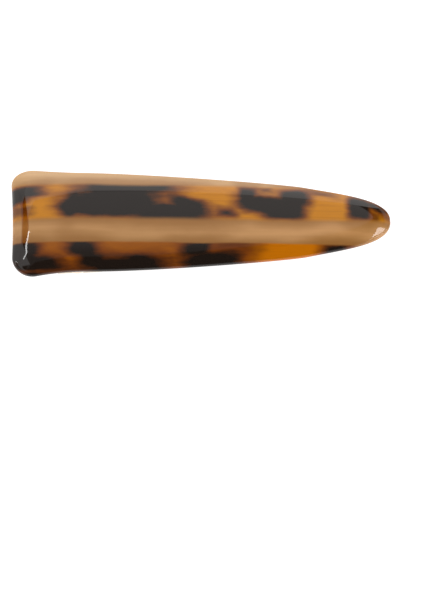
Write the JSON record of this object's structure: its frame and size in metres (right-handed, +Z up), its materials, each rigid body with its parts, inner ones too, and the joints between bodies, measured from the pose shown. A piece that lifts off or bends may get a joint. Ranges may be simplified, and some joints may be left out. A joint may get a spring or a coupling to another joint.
{
  "type": "barrette",
  "caption": "Tapered tortoiseshell acetate shell on a sprung beak clip; pressing the lever to the wide end opens its toothed jaw.",
  "frame": {"origin": "middle of the whole box at table height, on the flat underside of the lower jaw", "axes": "+X along the clip from the wide end to the tip, +Y across it, +Z up through the shell's crown"},
  "size_m": [0.0846, 0.0258, 0.0163],
  "materials": {
    "tortoiseshell_acetate": "polished, amber and beige with dark brown blots",
    "clear_adhesive": "cloudy clear glue",
    "plated_sheet": "pale gold plating, satin",
    "plated_rivet": "pale gold plating, polished dome",
    "spring_wire": "bright drawn wire"
  },
  "bodies": {
    "lower": {"lower_jaw": "plated_sheet"},
    "upper": {"upper_jaw": "plated_sheet", "acetate_shell": "tortoiseshell_acetate", "adhesive_bed": "clear_adhesive", "hinge_pin": "plated_rivet", "torsion_spring": "spring_wire"}
  },
  "joints": [
    {"name": "jaw_hinge", "type": "hinge", "parent": "lower", "child": "upper", "pos_m": [-0.02834, 0, 0.0052], "axis": [0, -1, 0], "range_deg": [0, 35], "stiffness_Nm_per_rad": 0.1, "springref_deg": -57.3, "deforming": ["torsion_spring"]}
  ]
}
